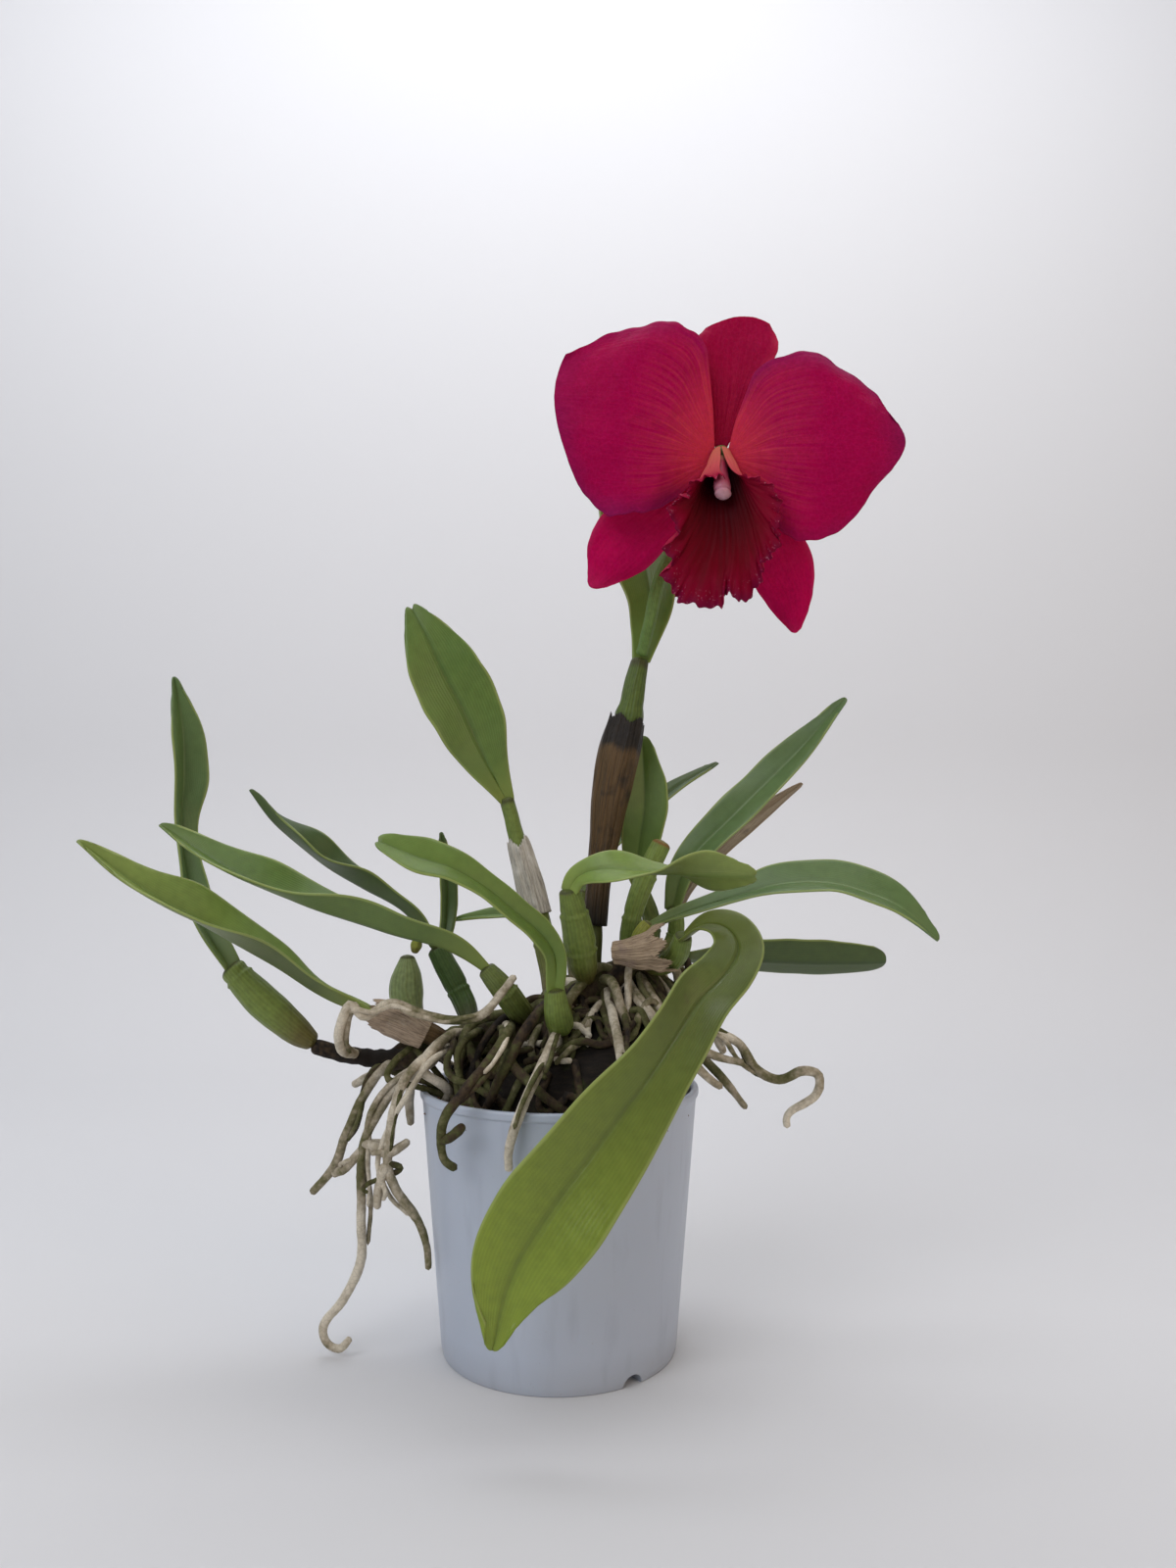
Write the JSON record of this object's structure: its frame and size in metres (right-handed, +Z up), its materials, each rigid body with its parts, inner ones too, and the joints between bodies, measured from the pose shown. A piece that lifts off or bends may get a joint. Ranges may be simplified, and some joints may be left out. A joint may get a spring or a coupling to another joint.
{
  "type": "potted cattleya orchid",
  "caption": "Cattleya orchid with one open magenta bloom, leathery leaves on pseudobulbs and loose aerial roots, standing in a plain white pot",
  "frame": {"origin": "centre of the pot's flat base, on the surface that the pot stands on", "axes": "+Z up; +X to the right of the bloom as it is seen; -Y towards the side that the bloom faces"},
  "size_m": [0.3495, 0.1588, 0.4358],
  "materials": {
    "pot": "satin moulded white plastic",
    "bark": "rough decayed fir bark chips",
    "root": "matt silvery velamen with green and brown stretches",
    "green_stem": "waxy ridged pseudobulb skin",
    "leaf_green": "leathery, semi-gloss cuticle",
    "leaf_light": "leathery, semi-gloss cuticle, younger and yellower",
    "leaf_dark": "leathery, dull underside",
    "dry_scale": "dry papery leaf and bud scale, matt",
    "yellow_growth": "soft waxy young growth",
    "cut_stem": "cut and dried stem",
    "black_sheath": "withered papery spathe, matt",
    "silver_sheath": "dry papery bulb sheath, fibrous",
    "petal": "velvety petal, soft sheen",
    "sepal": "velvety sepal, soft sheen",
    "lip": "velvety dark lip",
    "column": "waxy column and anther cap"
  },
  "bodies": {
    "root": {"column": "column", "cut_stump": "cut_stem", "dorsal_sepal": "sepal", "flower_stalk": "green_stem", "flowering_stem": "green_stem", "lateral_sepal_left": "sepal", "lateral_sepal_right": "sepal", "leaf_arching_right": "leaf_green", "leaf_ascending_right": "leaf_light", "leaf_back_left": "leaf_green", "leaf_behind_bloom": "leaf_green", "leaf_behind_stem": "leaf_dark", "leaf_dry_right": "dry_scale", "leaf_far_left": "leaf_green", "leaf_hanging_front": "leaf_light", "leaf_level_right": "leaf_dark", "leaf_long_left": "leaf_light", "leaf_low_left": "leaf_green", "leaf_narrow_left": "leaf_green", "leaf_pale_front": "leaf_light", "leaf_short_back": "leaf_green", "leaf_twisted_middle": "leaf_light", "leaf_upright_left": "leaf_green", "leaf_upright_right": "leaf_green", "lip": "lip", "new_growth": "leaf_light", "petal_left": "petal", "petal_right": "petal", "pot": "pot", "potting_medium": "bark", "pseudobulb_back_left": "green_stem", "pseudobulb_back_right": "green_stem", "pseudobulb_dark": "leaf_dark", "pseudobulb_far_left": "green_stem", "pseudobulb_front": "green_stem", "pseudobulb_front_right": "green_stem", "pseudobulb_leaning": "green_stem", "pseudobulb_low_left": "dry_scale", "pseudobulb_low_right": "yellow_growth", "pseudobulb_pale": "green_stem", "pseudobulb_right": "green_stem", "pseudobulb_upright_left": "green_stem", "rhizome_and_roots": "root", "sheath_black": "black_sheath", "sheath_dry_right": "dry_scale", "sheath_grey": "silver_sheath", "sheath_silver": "silver_sheath", "yellow_bud": "yellow_growth"}
  },
  "joints": []
}
